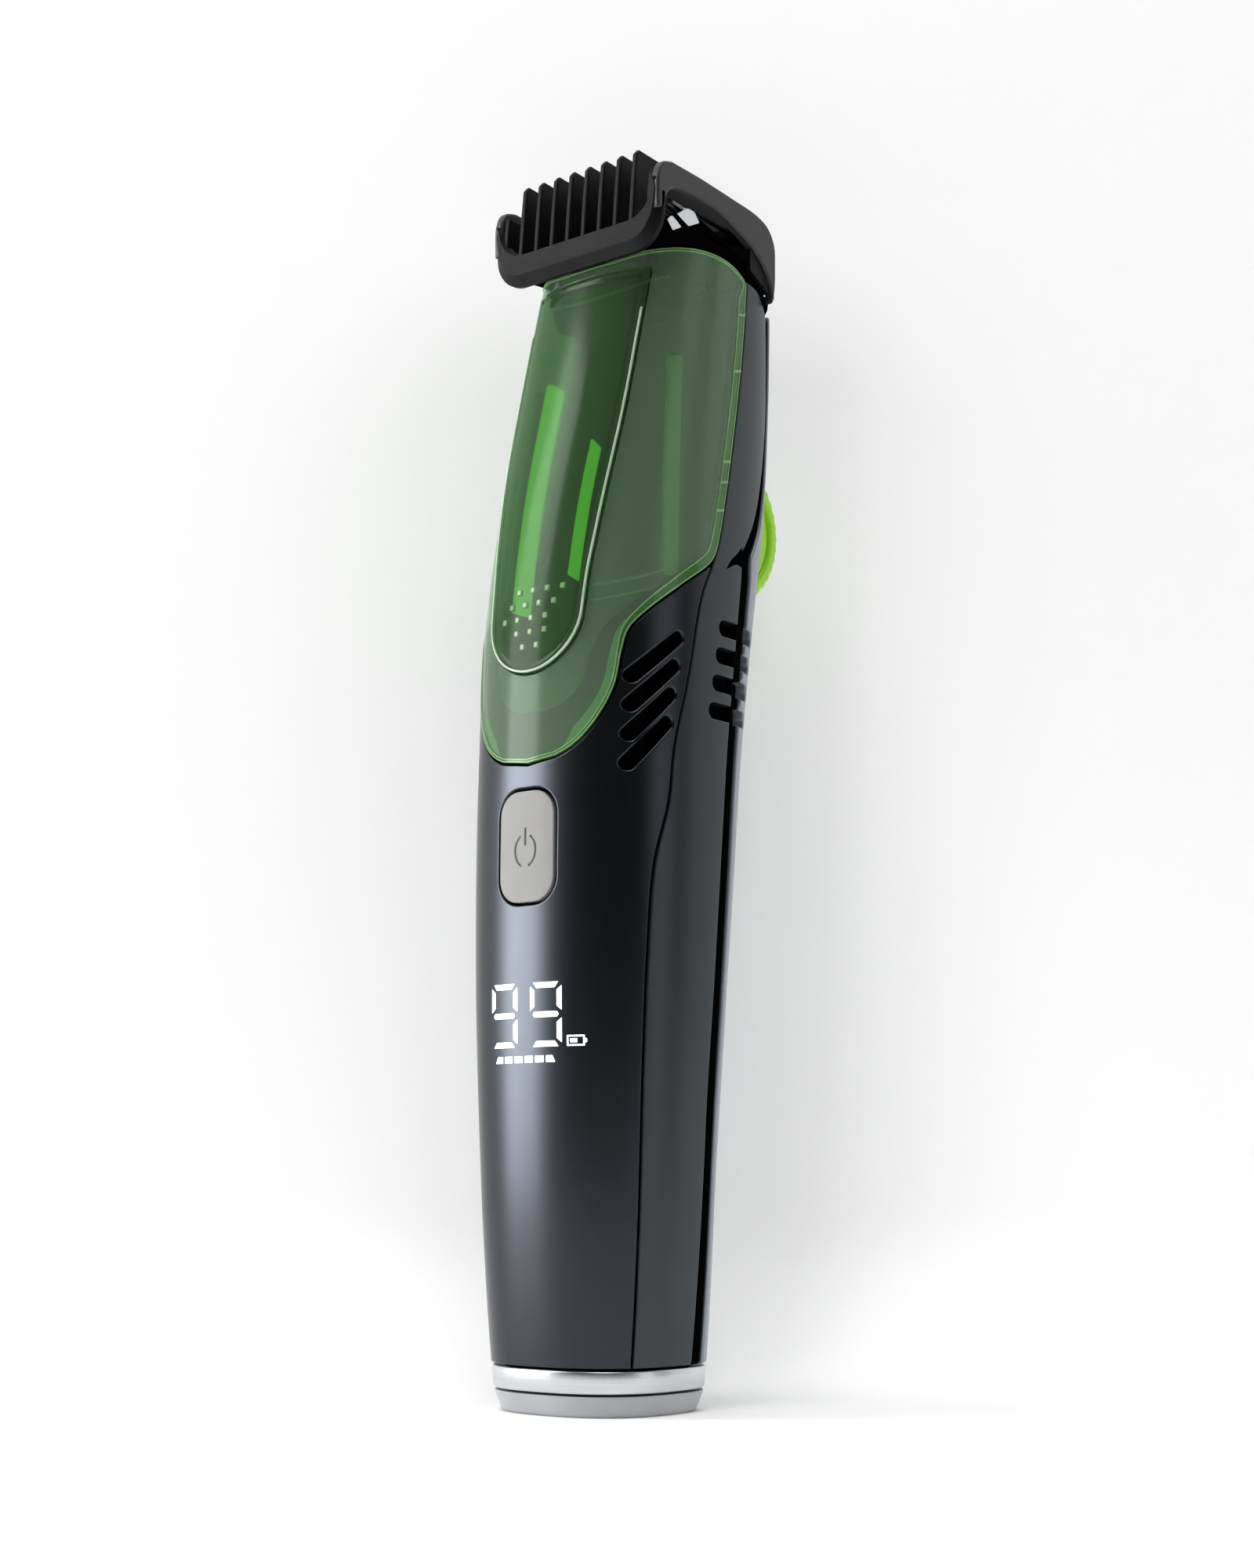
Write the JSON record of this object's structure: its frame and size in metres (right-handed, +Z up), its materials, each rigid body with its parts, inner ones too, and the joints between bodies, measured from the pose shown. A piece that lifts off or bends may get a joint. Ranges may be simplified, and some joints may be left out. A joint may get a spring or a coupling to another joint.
{
  "type": "beard trimmer",
  "caption": "Cordless vacuum beard trimmer with a lift-off translucent hair chamber, toothed blades under a height-adjustable comb, thumb wheel, power button and lit display.",
  "frame": {"origin": "centre of the flat bottom face of the foot, where the trimmer stands", "axes": "+Z up the body to the comb, -Y the front with button and display, +X to the right seen from behind the display, +Y the back with the length wheel"},
  "size_m": [0.0386, 0.0527, 0.1965],
  "materials": {
    "shell_blue_grey": "satin metallic paint, dark blue-grey",
    "panel_grey": "satin dark grey",
    "back_silver": "satin silver-grey",
    "trim_black": "glossy black",
    "comb_black": "fine satin black",
    "inner_plastic": "matt black",
    "chamber_green": "clear green, polished",
    "wheel_lime": "satin lime, fluted",
    "button_grey": "satin warm light grey",
    "foot_grey": "satin mid grey",
    "ring_satin": "satin, fine turned grain",
    "blade_steel": "ground",
    "steel": "plain",
    "bronze": "sintered",
    "board_green": "solder mask",
    "cell_sleeve": "shrink sleeve",
    "seal_rubber": "matt"
  },
  "bodies": {
    "housing": {"front_shell": "shell_blue_grey", "side_panel_left": "panel_grey", "side_panel_right": "panel_grey", "back_panel": "back_silver", "rear_deck": "trim_black", "inner_frame_front": "trim_black", "inner_frame_rear": "trim_black", "base_foot": "foot_grey", "base_ring": "ring_satin", "cutter_base": "inner_plastic", "tact_switch": "steel", "charge_socket": "steel", "motor_can": "steel", "motor_cap": "inner_plastic", "motor_bush": "bronze", "fan_housing": "inner_plastic", "shaft_bearing": "bronze", "shaft_bracket": "inner_plastic", "fixed_blade": "blade_steel", "blade_spring_left": "steel", "blade_spring_right": "steel", "filter_frame": "inner_plastic", "filter_mesh": "inner_plastic", "button_seal": "seal_rubber", "display_module": "inner_plastic", "battery_cell": "cell_sleeve", "battery_tab_positive": "steel", "battery_tab_negative": "steel", "control_board": "board_green", "switch_board": "board_green", "charge_board": "board_green", "blade_screw_left": "steel", "blade_screw_right": "steel", "foot_screw_left": "steel", "foot_screw_right": "steel", "bracket_screw_left": "steel", "bracket_screw_right": "steel", "motor_screw_left": "steel", "motor_screw_right": "steel"},
    "power_button": {"power_button": "button_grey"},
    "hair_chamber": {"hair_chamber": "chamber_green", "thumb_cover": "chamber_green"},
    "comb": {"comb_guard": "comb_black", "comb_carriage": "inner_plastic"},
    "wheel": {"zoom_wheel_left": "wheel_lime", "zoom_wheel_right": "wheel_lime", "wheel_pinion_left": "inner_plastic", "wheel_pinion_right": "inner_plastic", "wheel_axle": "steel"},
    "blade": {"moving_blade": "blade_steel", "drive_yoke": "inner_plastic"},
    "drive": {"drive_shaft": "steel", "impeller": "inner_plastic", "eccentric": "steel"}
  },
  "joints": [
    {"name": "power_press", "type": "slide", "parent": "housing", "child": "power_button", "axis": [0, 1, 0], "range_m": [0, 0.0004], "stiffness_N_per_m": 400},
    {"name": "wheel_turn", "type": "hinge", "parent": "housing", "child": "wheel", "pos_m": [0, 0.022, 0.141], "axis": [-1, 0, 0], "range_deg": [0, 172.8]},
    {"name": "comb_height", "type": "slide", "parent": "housing", "child": "comb", "axis": [0, 0.1045, 0.9945], "range_m": [0, 0.00951]},
    {"name": "blade_stroke", "type": "slide", "parent": "housing", "child": "blade", "axis": [1, 0, 0], "range_m": [-0.0009, 0.0009]},
    {"name": "drive_spin", "type": "hinge", "parent": "housing", "child": "drive", "pos_m": [0, -0.00236, 0.072], "axis": [0, 0.2079, 0.9781], "continuous": true},
    {"name": "chamber_release", "type": "slide", "parent": "housing", "child": "hair_chamber", "axis": [0, -0.7986, -0.6018], "range_m": [0, 0.03]}
  ],
  "couplings": [
    {"joint": "comb_height", "follows": "wheel_turn", "m_per_rad": 0.00315}
  ]
}
